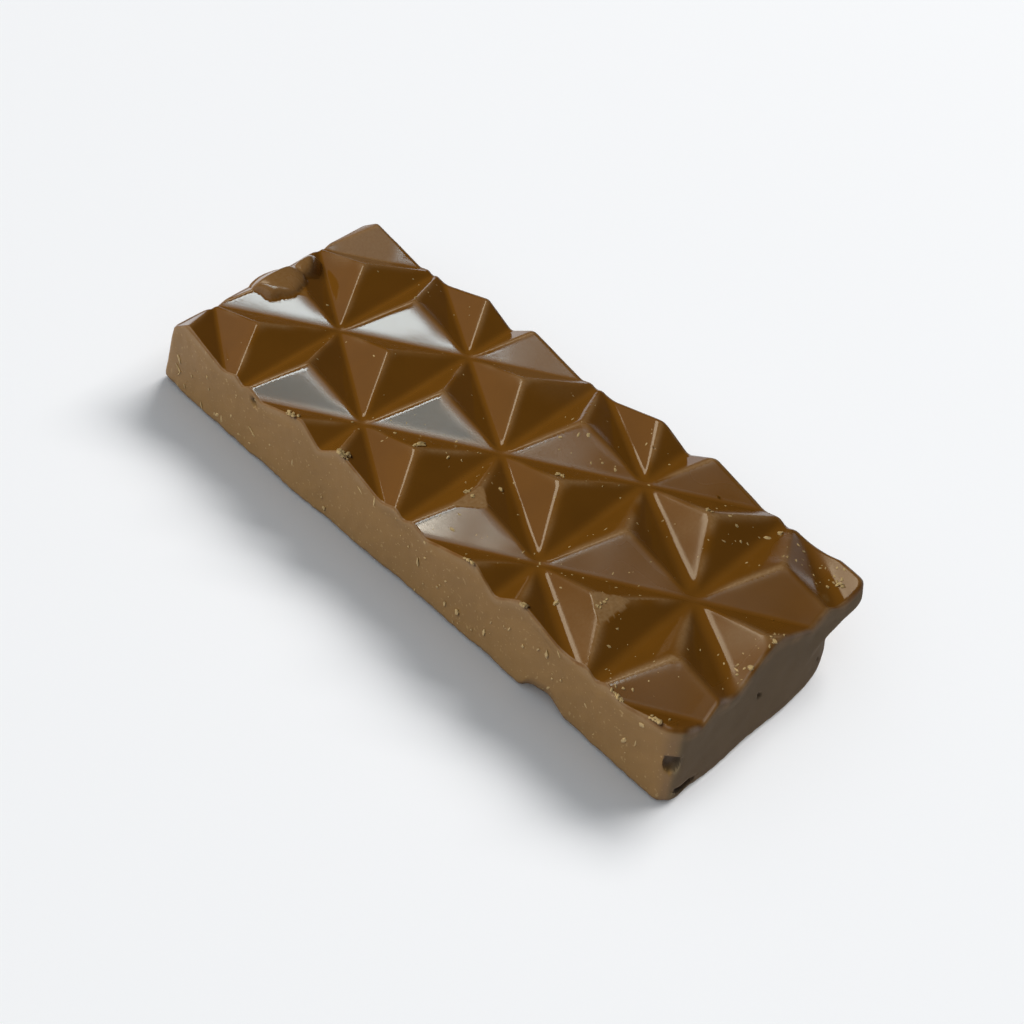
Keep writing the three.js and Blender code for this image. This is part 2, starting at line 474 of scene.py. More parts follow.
    def normals(self, x, y):
        """Unit normals from differences of the height over two small steps."""
        step = self.SLOPE_STEP
        slope_x = (self.height(x + step, y) - self.height(x - step, y)) / (2 * step)
        slope_y = (self.height(x, y + step) - self.height(x, y - step)) / (2 * step)
        normal = np.stack([-slope_x, -slope_y, np.ones_like(slope_x)], -1)
        return normal / np.linalg.norm(normal, axis=-1, keepdims=True)


class Walls:
    """The bar's outline at every height: four leaning sides with rounded corners."""

    # How much further out a wall stands, at its foot and at all heights, than its lean gives: share of
    # the way along the wall and millimetres.
    FRONT_FOOT = (
        (0, 0.05), (0.08, 0.1), (0.3, 0.35), (0.45, 0), (0.75, -0.1), (0.86, -0.4), (0.93, -0.15), (1, -0.1),
    )
    RIGHT_FOOT = ((0, -0.3), (0.25, -0.1), (0.6, 0.4), (1, -0.2))
    LEFT_FOOT = ((0, 0.7), (0.3, 0), (1, -0.2))
    BACK_FOOT = ((0, -0.2), (1, -0.2))
    STRAIGHT = ((0, 0), (1, 0))
    RIGHT_BOW = ((0, 0), (0.75, 0), (0.9, 0.6), (1, 1.3))
    LEFT_BOW = ((0, 0.5), (0.25, 0), (0.44, 0), (0.5, -0.5), (0.6, -0.5), (0.68, 0), (1, -0.3))
    BACK_BOW = (
        (0, 0.1), (0.08, 0.55), (0.55, 0.55), (0.7, 0.4), (0.8, 0.15), (0.88, -0.3), (0.95, -0.5), (1, -1.8),
    )
    # The right corners open out from this share of the valleys' height down, over this share.
    CORNER_TOP, CORNER_DROP = 0.92, 0.5
    # The left end's rim loses a share of its radius, from this share of the width on and over this one. Each
    # end's rim runs into those of the long walls from and over these shares of the bar's length.
    RIM_LESS, RIM_LESS_ACROSS = 0.5, (0.6, 0.25)
    RIM_LEFT, RIM_RIGHT = (0, 0.08), (0.92, 0.06)

    def __init__(self, relief):
        self.sizes = relief.sizes
        self.body = relief.body

    def rim(self, u, v):
        """Radius of the rim at places u along and v across. The left end's halves towards the back."""
        sizes = self.sizes
        across = sizes.rim_front + (sizes.rim_back - sizes.rim_front) * smooth_step(v)
        left = sizes.rim_left * (1 - self.RIM_LESS * ramp(v, *self.RIM_LESS_ACROSS))
        across = left + (across - left) * ramp(u, *self.RIM_LEFT)
        return across + (sizes.rim_right - across) * ramp(u, *self.RIM_RIGHT)

    def sides(self, u, v, z, out):
        """Left, right, front and back at height z, moved out, for places u along and v across."""
        sizes = self.sizes
        rise = z / self.body
        foot = np.clip(1 - rise, 0, 1)

        def beyond(share, at_foot, at_all):
            return out + MM * (foot * np.interp(share, *zip(*at_foot)) + np.interp(share, *zip(*at_all)))

        return (
            BAR_LOW.x + sizes.flare_left * rise - beyond(v, self.LEFT_FOOT, self.LEFT_BOW),
            BAR_HIGH.x - sizes.flare_right * rise + beyond(v, self.RIGHT_FOOT, self.RIGHT_BOW),
            BAR_LOW.y + sizes.flare_front * rise - beyond(u, self.FRONT_FOOT, self.STRAIGHT),
            BAR_HIGH.y - sizes.flare_back * rise + beyond(u, self.BACK_FOOT, self.BACK_BOW),
        )

    def outline(self, u, v, z, out):
        """Places of the points (u, v) of the unit square, stretched to the sides at height z, with the
        corner squares drawn into quarter discs: there a point (a, b) from the disc's centre moves to
        (a, b) max(a, b) / |(a, b)|."""
        sizes = self.sizes
        left, right, front, back = self.sides(u, v, z, out)
        x = left + (right - left) * u
        y = front + (back - front) * v
        foot = smooth_step((self.CORNER_TOP - z / self.body) / self.CORNER_DROP)
        front_right = sizes.round_front_right + (sizes.foot_front_right - sizes.round_front_right) * foot
        back_right = sizes.round_back_right + (sizes.foot_back_right - sizes.round_back_right) * foot
        corners = (
            (left, front, 1, 1, sizes.round_front_left),
            (right, front, -1, 1, front_right),
            (right, back, -1, -1, back_right),
            (left, back, 1, -1, sizes.round_back_left),
        )
        for corner_x, corner_y, inward_x, inward_y, radius in corners:
            centre_x = corner_x + inward_x * (radius + out)
            centre_y = corner_y + inward_y * (radius + out)
            a = (centre_x - x) * inward_x
            b = (centre_y - y) * inward_y
            inside = (a > 0) & (b > 0)
            shrink = np.where(inside, np.maximum(a, b) / np.maximum(np.hypot(a, b), TINY), 1)
            x = np.where(inside, centre_x - inward_x * a * shrink, x)
            y = np.where(inside, centre_y - inward_y * b * shrink, y)
        return np.stack([x, y], -1)


# Least gap between an end of the grid and the next line, in half steps.
END_GAP = 0.3


def grid_lines(low, high, origin, step, fine_low, fine_high):
    """Grid lines from low to high: both ends, every whole step from origin that lies between them, and
    half steps within the fine margins at the two ends."""
    half = step / 2
    first = math.ceil((low - origin) / half + END_GAP)
    last = math.floor((high - origin) / half - END_GAP)
    count = np.arange(first, last + 1)
    line = origin + half * count
    kept = (count % 2 == 0) | (line < low + fine_low) | (line > high - fine_high)
    return np.concatenate([[low], line[kept], [high]])


def border(columns, rows):
    """Grid indices along the border, anticlockwise from the front left, as two arrays."""
    i = np.concatenate([
        np.arange(columns), np.full(rows - 1, columns - 1),
        np.arange(columns - 2, -1, -1), np.zeros(rows - 2, int),
    ])
    j = np.concatenate([
        np.zeros(columns, int), np.arange(1, rows),
        np.full(columns - 1, rows - 1), np.arange(rows - 2, 0, -1),
    ])
    return i, j


# How far in from a wall the relief's grid bends to follow it, and how far in from the front and the
# right end it is finer.
BEND = 2.5 * MM
FINE = 3.0 * MM
# Rounds in which the leaning walls and the relief's edge settle on where they meet.
LEAN_ROUNDS = 4


def top_sheet(relief, walls):
    """The relief as a grid over the plan: its lines follow the tiles, its corners are rounded, and near
    the walls it is drawn in where the leaning walls meet it above the valleys. Returns the points and
    the places u and v of the grid's lines."""
    sizes = relief.sizes
    middle = np.array(0.5)
    left, right, front, back = (
        float(side) for side in walls.sides(middle, middle, np.array(relief.body), -sizes.rim_front)
    )
    lines_x = grid_lines(left, right, relief.corner[0], relief.row / sizes.cells, 0, FINE)
    lines_y = grid_lines(front, back, relief.corner[1], sizes.tile / 2 / sizes.cells, FINE, 0)
    u, v = np.meshgrid((lines_x - left) / (right - left), (lines_y - front) / (back - front), indexing="ij")
    plan = walls.outline(u, v, np.full(u.shape, relief.body), -walls.rim(u, v))
    x, y = plan[..., 0], plan[..., 1]
    near_left = smooth_step(1 - (lines_x - left) / BEND)[:, None]
    near_right = smooth_step(1 - (right - lines_x) / BEND)[:, None]
    near_front = smooth_step(1 - (lines_y - front) / BEND)[None]
    near_back = smooth_step(1 - (back - lines_y) / BEND)[None]
    for _ in range(LEAN_ROUNDS):
        over = (relief.height(x, y) - relief.body) / relief.body
        lean_x = near_left * sizes.flare_left * over[:1] - near_right * sizes.flare_right * over[-1:]
        lean_y = near_front * sizes.flare_front * over[:, :1] - near_back * sizes.flare_back * over[:, -1:]
        x = plan[..., 0] + lean_x
        y = plan[..., 1] + lean_y
    x = on_ridges(relief, x, y)
    return np.stack([x, y, relief.height(x, y)], -1), u, v


def on_ridges(relief, x, y):
    """Moves the points of each line of the grid that lie nearest to a ridge that crosses it onto that
    ridge, along the bar, apart from the sheet's border. The ridges lie on lines at 60 and 120 degrees, half
    a tile apart."""
    step = np.diff(x, axis=0)
    before = np.concatenate([step[:1], step])
    after = np.concatenate([step, step[-1:]])
    apart = relief.sizes.tile / 2
    move = np.full(x.shape, np.inf)
    for turn in relief.TURNS[1:]:
        across = (x - relief.corner[0]) * math.sin(turn) - (y - relief.corner[1]) * math.cos(turn)
        away = (np.round(across / apart) * apart - across) / math.sin(turn)
        near = np.abs(away) <= np.where(away > 0, after, before) / 2
        move = np.where(near & (np.abs(away) < np.abs(move)), away, move)
    move[np.isinf(move)] = 0
    move[[0, -1]] = 0
    move[:, [0, -1]] = 0
    return x + move


def outward(ring, reach=1):
    """Unit normals in plan of a closed anticlockwise ring of points, square to the chord between the
    points so many places before and after."""
    along = np.roll(ring, -reach, 0) - np.roll(ring, reach, 0)
    normal = np.stack([along[:, 1], -along[:, 0]], -1)
    return normal / np.maximum(np.linalg.norm(normal, axis=1, keepdims=True), TINY)


# Turns of the rings in the quarter rounds at the rim and at the base, and how many rings lie between.
RIM_TURNS = np.radians([25, 50, 75, 90])
WALL_RINGS = 30
BASE_TURNS = np.radians([20, 40, 60, 78, 90])
# Places to either side that tell which way a wall faces. The right end starts where the wall's normal leans
# along the bar by the first number, and is reached after the second one more.
FACING_REACH = 10
RIGHT_END = (0.6, 0.3)
# Heights of the waves in the walls, and over how many rings below the rim they set in.
WALL_WAVE, WALL_GRAIN = 0.09 * MM, 0.02 * MM
WAVE_RINGS = 4
# How far the radius of the lower edge varies, in long waves and in crumbs, its bounds, and how far its
# blunt corner reaches.
FOOT_VARIES, FOOT_CRUMBLES = 0.2, 0.07
FOOT_BOUNDS = (0.35 * MM, 2 * MM)
BLUNT_REACH = 4 * MM
# A scoop out of the lower front edge: middle along from the tile corner, reach to either side, depth.
NICK = {"along": 61.2 * MM, "left": 2.5 * MM, "right": 3.4 * MM, "depth": 2.6 * MM}


def base_rounding(relief, edge):
    """Radius of the base's edge all round: uneven and crumbly, and larger at the blunt front left corner,
    by a bell curve of the distance from it, and at the nick in the front."""
    sizes = relief.sizes
    place = edge[:, :2]
    uneven = FOOT_VARIES * ripple(place, "foot") + FOOT_CRUMBLES * ripple(place, "foot_crumble")
    radius = np.clip(sizes.base_round * (1 + uneven), *FOOT_BOUNDS)
    away = edge[:, 0] - relief.corner[0] - NICK["along"]
    away = np.where(away < 0, away / NICK["left"], away / NICK["right"])
    at_front = edge[:, 1] < relief.corner[1] - sizes.tile / 2
    from_corner = np.hypot(edge[:, 0] - BAR_LOW.x, edge[:, 1] - BAR_LOW.y)
    radius = radius + sizes.blunt_corner * np.exp(-((from_corner / BLUNT_REACH) ** 2))
    return radius + at_front * NICK["depth"] * np.exp(-(away**4))


def wall_rings(relief, walls, edge, u, v):
    """The walls as rings below the relief's edge: a quarter round at the rim, the leaning wall and a
    quarter round at the base. Returns an array of ring, place along it and x, y, z, then 1 for each place
    in a bubble, where the finish paints the shade inside dark, and 1 where the wall faces along the bar and
    0 where it faces across."""
    rim = walls.rim(u, v)
    foot = base_rounding(relief, edge)
    top = edge[:, 2] - rim
    levels = [(edge[:, 2] - rim * (1 - math.cos(turn)), rim * math.sin(turn) - rim) for turn in RIM_TURNS]
    levels += [(top + (foot - top) * share, 0) for share in np.arange(1, WALL_RINGS + 1) / WALL_RINGS]
    levels += [(foot * (1 - math.sin(turn)), -foot * (1 - math.cos(turn))) for turn in BASE_TURNS]
    start = walls.outline(u, v, edge[:, 2], -rim)
    rings = np.stack([
        np.column_stack([edge[:, :2] + walls.outline(u, v, z, out + np.zeros(len(u))) - start, z])
        for z, out in levels
    ])
    normal = np.stack([outward(ring[:, :2]) for ring in rings])
    facing = np.stack([outward(ring[:, :2], FACING_REACH)[:, 0] for ring in rings])
    right_end = ramp(facing, *RIGHT_END)
    wave = WALL_WAVE * ripple(rings, "walls") + WALL_GRAIN * ripple(rings, "wall_grain")
    fade = np.clip((np.arange(len(rings)) - len(RIM_TURNS)) / WAVE_RINGS, 0, 1)[:, None]
    rings[..., :2] += (wave * fade)[..., None] * normal
    # Marks the points inside a bubble, where the finish paints the shade inside them dark.
    hollow = np.zeros(rings.shape[:2])
    for bubble in BUBBLES:
        hollow[press(rings, normal, relief, bubble)] = 1
    return rings, hollow, right_end


# Over how many rings of the rim's quarter round the wall's finish sets in, and below it the wear fades out.
# How pale the rim and the foot are, the foot's paleness being painted light, how dull the rim is, and middle
# and swing of the gaps in its wear.
FINISH_RINGS, WEAR_RINGS = 2, 1.5
PALE_RIM, PALE_FOOT, DULL_RIM = 0.62, 0.23, 0.7
RIM_GAPS = (0.6, 0.5)


def below_rim(rings):
    """0 on the upper rings of the rim's quarter round, rising to 1 on its last ring and below it."""
    below = np.arange(len(rings)) - len(RIM_TURNS) + 1
    share = np.clip(1 + below / FINISH_RINGS, 0, 1)
    return np.repeat(share[:, None], rings.shape[1], 1)


def rim_wear_and_foot_light(rings):
    """Pale on the rim's quarter round, with gaps, fading below it by a bell curve, and paler again towards
    the foot, which is painted light against the shade low on the wall."""
    ring = np.arange(len(rings))
    share = PALE_RIM * np.exp(-((np.maximum(ring - len(RIM_TURNS), 0) / WEAR_RINGS) ** 2))
    pale = share[:, None] * np.clip(RIM_GAPS[0] + RIM_GAPS[1] * ripple(rings, "rim"), 0, 1)
    # Painted light: paler towards the foot.
    return np.maximum(pale, PALE_FOOT * smooth_step(ring / len(rings))[:, None])


# Air bubbles open in the walls, from the tile corner in the plane of the valleys: middle, radii and how
# high up a bubble is cut off flat, in radii.
BUBBLES = (
    {"middle": (82.1, -17.9, -3.3), "radii": (1.25, 1.25, 1.75), "flat": 0.42},
    {"middle": (83.3, -16.2, -8.4), "radii": (0.85, 2.0, 0.55), "flat": 1},
    {"middle": (82.6, -2.8, -3.55), "radii": (0.5, 0.4, 0.4), "flat": 1},
    {"middle": (83.2, 9.6, -7.6), "radii": (0.5, 0.4, 0.35), "flat": 1},
    {"middle": (2.8, -17.9, -0.9), "radii": (0.6, 0.8, 0.6), "flat": 1},
)
# How far out a bubble's edge gathers the points round it, in radii.
BUBBLE_EDGE = 1.3


def press(rings, normal, relief, bubble):
    """Pushes the wall in to the far side of an ellipsoid, straight in along its normals, and draws the
    points just outside to the ellipsoid's edge so that the edge is crisp. Returns which points it pushed."""
    middle = np.array([*relief.corner, relief.body]) + np.array(bubble["middle"]) * MM
    radii = np.array(bubble["radii"]) * MM
    away = (rings - middle) / radii
    far = np.linalg.norm(away, axis=-1)
    below = away[..., 2] < bubble["flat"]
    edge = (far > 1) & (far < BUBBLE_EDGE) & below
    rings[edge] -= (away * (1 - 1 / np.maximum(far, TINY))[..., None] * radii)[edge]
    inward = -np.concatenate([normal, np.zeros_like(normal[..., :1])], -1) / radii
    along = (away * inward).sum(-1)
    size = (inward**2).sum(-1)
    reach = (-along + np.sqrt(np.maximum(along**2 - size * (far**2 - 1), 0))) / size
    inside = (far <= 1) & below
    rings[inside] += (inward * radii * reach[..., None])[inside]
    return inside


def closed_triangles(relief, top, ring_count):
    """Triangles of a sheet, its rings and a closing fan, all facing out. Each cell of the sheet is split
    along the diagonal whose middle lies nearer to the relief."""
    columns, rows = top.shape[:2]
    index = np.arange(columns * rows).reshape(columns, rows)
    a, b, c, d = index[:-1, :-1], index[1:, :-1], index[1:, 1:], index[:-1, 1:]
    z = top[..., 2].reshape(-1)
    middle = (top[:-1, :-1, :2] + top[1:, :-1, :2] + top[1:, 1:, :2] + top[:-1, 1:, :2]) / 4
    twice = 2 * relief.height(middle[..., 0], middle[..., 1])
    rising = (np.abs(z[a] + z[c] - twice) < np.abs(z[b] + z[d] - twice))[..., None]
    first = np.where(rising, np.stack([a, b, c], -1), np.stack([a, b, d], -1))
    second = np.where(rising, np.stack([a, c, d], -1), np.stack([b, c, d], -1))
    i, j = border(columns, rows)
    edge = index[i, j]
    around = len(edge)
    rings = columns * rows + np.arange(ring_count * around).reshape(ring_count, around)
    upper = np.concatenate([edge[None], rings[:-1]])
    upper_next, lower_next = np.roll(upper, -1, 1), np.roll(rings, -1, 1)
    left_half = np.stack([upper, rings, lower_next], -1)
    right_half = np.stack([upper, lower_next, upper_next], -1)
    pole = columns * rows + ring_count * around
    fan = np.stack([lower_next[-1], rings[-1], np.full(around, pole)], -1)
    return np.concatenate([part.reshape(-1, 3) for part in (first, second, left_half, right_half, fan)])


def unit_ball(rows, columns):
    """Points and triangles of a ball of radius 1: rows of latitude between its poles."""
    tilt = math.pi * np.arange(1, rows + 1) / (rows + 1)
    turn = 2 * math.pi * np.arange(columns) / columns
    tilt, turn = np.meshgrid(tilt, turn, indexing="ij")
    belt = np.stack([np.sin(tilt) * np.cos(turn), np.sin(tilt) * np.sin(turn), np.cos(tilt)], -1)
    points = np.concatenate([belt.reshape(-1, 3), [[0, 0, 1], [0, 0, -1]]])
    index = np.arange(rows * columns).reshape(rows, columns)
    beside = np.roll(index, -1, 1)
    north, south = rows * columns, rows * columns + 1
    parts = [
        np.stack([index[:-1], index[1:], beside[1:]], -1),
        np.stack([index[:-1], beside[1:], beside[:-1]], -1),
        np.stack([np.full(columns, north), index[0], beside[0]], -1),
        np.stack([np.full(columns, south), beside[-1], index[-1]], -1),
    ]
    return points, np.concatenate([part.reshape(-1, 3) for part in parts])


# Gives a level face a direction across.
NUDGE = np.array([1e-6, 0, 0])


def upright_frames(normals, spin):
    """For each normal a frame of three directions: across, up the slope and along the normal, turned by
    spin about the normal. Returns an array of frame, coordinate and direction."""
    across = np.cross([0.0, 0.0, 1.0], normals) + NUDGE
    across /= np.linalg.norm(across, axis=1, keepdims=True)
    up = np.cross(normals, across)
    cos, sin = np.cos(spin)[:, None], np.sin(spin)[:, None]
    return np.stack([across * cos + up * sin, up * cos - across * sin, normals], -1)


# Sides of a crumb, and how far in and out its points lie.
CRUMB_SIDES = 6
CRUMB_ROUGH = (0.6, 1.3)


def crumbs(places, frames, spans, rows, seed):
    """Copies of a ball, each with its points moved in and out at random, stretched by its spans, turned
    by its frame and set at its place. Returns the points and triangles of all of them."""
    ball, triangles = unit_ball(rows, CRUMB_SIDES)
    rng = np.random.default_rng(seed)
    shapes = ball * rng.uniform(*CRUMB_ROUGH, (len(places), len(ball), 1)) * spans[:, None]
    points = np.einsum("nij,nvj->nvi", frames, shapes) + places[:, None]
    offsets = len(ball) * np.arange(len(places))[:, None, None]
    return points.reshape(-1, 3), (triangles + offsets).reshape(-1, 3)


def new_piece(name, points, triangles, material, attributes, smooth=True):
    """A mesh object at the origin, with one number for each vertex under each attribute's name."""
    mesh = bpy.data.meshes.new(name)
    mesh.from_pydata(points, [], triangles)
    mesh.polygons.foreach_set("use_smooth", np.full(len(mesh.polygons), smooth))
    for key, values in attributes.items():
        mesh.attributes.new(key, "FLOAT", "POINT").data.foreach_set("value", values.astype(np.float32))
    mesh.materials.append(material)
    mesh.validate()
    piece = bpy.data.objects.new(name, mesh)
    bpy.context.scene.collection.objects.link(piece)
    return piece


# Materials


class Value:
    """A shader socket in sums: an expression on it adds Math nodes."""

    def __init__(self, tree, socket):
        self.tree = tree
        self.socket = socket

    def math(self, operation, *others):
        node = self.tree.nodes.new("ShaderNodeMath")
        node.operation = operation
        for slot, part in zip(node.inputs, (self, *others)):
            if isinstance(part, Value):
                self.tree.links.new(part.socket, slot)
            else:
                slot.default_value = part
        return Value(self.tree, node.outputs[0])

    def __add__(self, other):
        return self.math("ADD", other)

    __radd__ = __add__

    def __mul__(self, other):
        return self.math("MULTIPLY", other)

    __rmul__ = __mul__

    def __sub__(self, other):
        return self.math("SUBTRACT", other)

    def __rsub__(self, other):
        return (self * -1) + other

    def clamp(self):
        return self.math("MAXIMUM", 0).math("MINIMUM", 1)

    def above(self, low, high):
        """0 up to low, 1 from high, and a straight line between."""
        return ((self - low) * (1 / (high - low))).clamp()


# Noise in the finishes: its scale per millimetre and its detail.
NOISE = {"cloud": (0.16, 3), "grain": (2.6, 2), "specks": (1.9, 1), "mottle": (1.5, 2)}


class Finish:
    """A material under construction."""

    def __init__(self, name):
        self.material = bpy.data.materials.new(name)
        self.material.use_nodes = True
        self.tree = self.material.node_tree
        self.tree.nodes.clear()

    def node(self, kind, settings=None, inputs=None):
        """A node of that type, with its settings and then its sockets' values or links."""
        made = self.tree.nodes.new(kind)
        for key, value in (settings or {}).items():
            setattr(made, key, value)
        for key, value in (inputs or {}).items():
            socket = made.inputs[key]
            source = value.socket if isinstance(value, Value) else value
            if isinstance(source, bpy.types.NodeSocket):
                self.tree.links.new(source, socket)
            else:
                socket.default_value = source
        return made

    def attribute(self, name):
        return Value(self.tree, self.node("ShaderNodeAttribute", {"attribute_name": name}).outputs["Fac"])

    def places(self):
        """The piece's own coordinates in millimetres."""
        source = self.node("ShaderNodeTexCoord").outputs["Object"]
        scale = (1 / MM, 1 / MM, 1 / MM)
        return self.node("ShaderNodeMapping", None, {"Vector": source, "Scale": scale}).outputs["Vector"]

    def noise(self, places, name):
        per_mm, detail = NOISE[name]
        node = self.node("ShaderNodeTexNoise", None, {"Vector": places, "Scale": per_mm, "Detail": detail})
        return Value(self.tree, node.outputs["Fac"])

    def mix(self, share, first, second):
        """A colour between two: share 0 gives the first."""
        return self.node("ShaderNodeMix", {"data_type": "RGBA"}, {0: share, 6: first, 7: second}).outputs[2]

    def bump(self, height, distance):
        return self.node("ShaderNodeBump", None, {"Height": height, "Distance": distance}).outputs["Normal"]

    def shader(self, **inputs):
        """The principled surface, with underscores for the spaces in its sockets' names."""
        sockets = {key.replace("_", " "): value for key, value in inputs.items()}
        surface = self.node("ShaderNodeBsdfPrincipled", None, sockets)
        self.node("ShaderNodeOutputMaterial", None, {"Surface": surface.outputs[0]})
        return self.material


def opaque(tint):
    return (*tint, 1.0)


# Roughness of the fresh relief, and how much rougher walls, the right end and dull places are.
GLOSS, WALL_ROUGHER, END_ROUGHER, DULL_ROUGHER = 0.08, 0.47, 0.45, 0.5
CHOCOLATE_IOR = 1.5
# Depth of the grain, its share on the relief, and the shares that walls and the pale places of wear and
# painted light add.
GRAIN_DEPTH = 0.03 * MM
GRAIN, WALL_GRAINIER, WEAR_AND_LIGHT_GRAINIER = 0.08, 0.6, 0.12
# How dark the darker colour is, its share in the clouds, its share at the right end, which is painted shade,
# and where along the bar, in millimetres, that end's share grows.
DARKER = 0.82
CLOUD_SHARE, RIGHT_SHADE_SHARE = 0.4, 0.6
RIGHT_FROM, RIGHT_TO = 0, 35
# Between which values of the noise clouds, specks and the crumbs' mottling set in.
CLOUD_EDGE, SPECK_EDGE, MOTTLE_EDGE = (0.4, 0.65), (0.66, 0.74), (0.35, 0.65)
# Least share of the pale colour that the grain leaves, and the shares of the pale colour, which paints wear,
# highlights and light, of the speck colour and of the hollows' painted shade.
WEAR_AND_LIGHT_LEAST = 0.35
WEAR_AND_LIGHT_SHARE, SPECK_SHARE, HOLLOW_SHADE_SHARE = 0.72, 0.35, 0.7
# Brightness of a crumb's dark spots, and the roughness of crumbs and floor.
CRUMB_DARK = 0.7
CRUMB_ROUGHNESS, FLOOR_ROUGHNESS = 0.55, 0.9


def chocolate_finish(tints):
    """Glossy on the relief, satin on the walls, dull on the right end. Paler where edges are rubbed and where
    tips broke off, and with painted highlights on the ridges, a painted sheen on some faces and painted light
    at the walls' foot; a painted shade darkens the relief towards the right end and the insides of the
    bubbles."""
    finish = Finish("milk_chocolate")
    places = finish.places()
    marks = ("wall", "end", "worn", "dull", "hollow")
    wall, end, worn, dull, hollow = (finish.attribute(name) for name in marks)
    cloud = finish.noise(places, "cloud").above(*CLOUD_EDGE)
    grain = finish.noise(places, "grain")
    specks = finish.noise(places, "specks").above(*SPECK_EDGE)
    base = finish.mix(wall, opaque(tints.chocolate), opaque(tints.wall))
    base = finish.mix(end, base, opaque(tints.end))
    darker = finish.node("ShaderNodeHueSaturation", None, {"Value": DARKER, "Color": base}).outputs["Color"]
    along = Value(finish.tree, finish.node("ShaderNodeSeparateXYZ", None, {"Vector": places}).outputs["X"])
    # Painted shade: the relief grows darker towards the right end.
    shade_to_right = along.above(RIGHT_FROM, RIGHT_TO) * (1 - wall)
    base = finish.mix(cloud * CLOUD_SHARE + shade_to_right * RIGHT_SHADE_SHARE, base, darker)
    # The pale colour: real wear, and painted highlights, sheen and light.
    pale_share = (worn * (WEAR_AND_LIGHT_LEAST + grain)).clamp()
    base = finish.mix(pale_share * WEAR_AND_LIGHT_SHARE, base, opaque(tints.worn))
    base = finish.mix(specks * (wall - end) * SPECK_SHARE, base, opaque(tints.crumb))
    # Painted shade: the insides of the open bubbles are darkened.
    base = finish.mix(hollow * HOLLOW_SHADE_SHARE, base, opaque(tints.hollow))
    roughness = GLOSS + wall * WALL_ROUGHER + end * END_ROUGHER + dull * DULL_ROUGHER
    relief = grain * (GRAIN + wall * WALL_GRAINIER + worn * WEAR_AND_LIGHT_GRAINIER)
    return finish.shader(
        Base_Color=base,
        Roughness=roughness.clamp(),
        IOR=CHOCOLATE_IOR,
        Normal=finish.bump(relief, GRAIN_DEPTH),
    )


def crumb_finish(tints):
    """Dull broken chocolate, paler than the bar, mottled crumb by crumb."""
    finish = Finish("chocolate_crumbs")
    mottle = finish.noise(finish.places(), "mottle").above(*MOTTLE_EDGE)
    dark = tuple(part * CRUMB_DARK for part in tints.crumb)
    tint = finish.mix(mottle, opaque(dark), opaque(tints.crumb))
    return finish.shader(Base_Color=tint, Roughness=CRUMB_ROUGHNESS)


def floor_finish(tints):
    finish = Finish("studio_floor")
    return finish.shader(Base_Color=opaque(tints.floor), Roughness=FLOOR_ROUGHNESS)


# Operators

# Level directions that the lamps' sides follow, and how high the level panels hang.
SILL = Vector((0.894, 0.447, 0))
ACROSS = Vector((-0.447, 0.894, 0))
PANEL_HEIGHT = 2.0
# The level panels over the bar: from where to where they reach along the sill and across it, for a height
# of 1, then their tint and whether the gloss mirrors them.
PANELS = {
    "window": ((-0.9, -0.225, -0.39, -0.31), (0.81, 0.96, 1), True),
    "sky": ((-0.5, -0.19, -0.5, -0.402), (0.2, 0.78, 1), True),
    "glint": ((-0.33, -0.2, -0.56, -0.463), (1, 0.98, 0.85), True),
    "shine": ((-0.187, -0.14, -0.46, -0.4), (1, 0.98, 0.85), True),
    "gleam": ((-1.2, -0.62, 0.08, 0.52), (1, 0.9, 0.68), True),
    "soft": ((-0.9, -0.17, -0.4, 0.02), (0.85, 0.97, 1), False),
}
# The panels that face the bar from where they stand: place, span, tint and what they light.
LAMPS = {
    "side": ((-1.76, -0.38, 0.86), (1.6, 1.2), (1, 1, 1), "bar"),
    "front": ((-0.7, -2, 0.5), (1.6, 1.2), (1, 1, 1), "bar"),
    "floor_lamp": ((0.5, 4.5, 3.94), (4.8, 1.8), (1, 0.976, 0.953), "floor"),
    "floor_fill": ((0, 0, 1.2), (5, 5), (0.9, 0.955, 1), "floor"),
}
FLOOR_REACH = 4.0
SENSOR_WIDTH = 36
NEAREST_VIEW = 0.01


class ChocolateOperator:
    """What the operators share: one step, which can be undone."""

    bl_options = {"REGISTER", "UNDO"}


class CHOCOLATE_OT_bar(ChocolateOperator, bpy.types.Operator):
    """Builds the bar: its relief, walls and base as one closed surface"""

    bl_idname = "chocolate.bar"
    bl_label = "Bar"

    def execute(self, context):
        relief = Relief(context.scene.chocolate_sizes)
        walls = Walls(relief)
        top, u, v = top_sheet(relief, walls)
        columns, rows = top.shape[:2]
        i, j = border(columns, rows)
        rings, hollow, end = wall_rings(relief, walls, top[i, j], u[i, j], v[i, j])
        middle = np.array([[*rings[-1, :, :2].mean(0), 0]])
        points = np.concatenate([top.reshape(-1, 3), rings.reshape(-1, 3), middle])
        triangles = closed_triangles(relief, top, len(rings))
        x, y = top[..., 0], top[..., 1]
        none = np.zeros(x.shape)
        wall = below_rim(rings)
        # The pale share carries wear and painted highlights and light, the hollows' share a painted shade.
        marks = {
            "worn": (relief.wear_and_highlights(x, y), rim_wear_and_foot_light(rings)),
            "dull": (relief.dullness(x, y), DULL_RIM * (1 - wall)),
            "wall": (none, wall),
            "end": (none, wall * end),
            "hollow": (none, hollow),
        }
        for key, (over, below) in marks.items():
            marks[key] = np.concatenate([over.ravel(), below.ravel(), [0]])
        material = chocolate_finish(context.scene.chocolate_colours)
        bar = new_piece("moulded_bar", points, triangles, material, marks)
        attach(bar, "root")
        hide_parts("chocolate_bar")
        return {"FINISHED"}


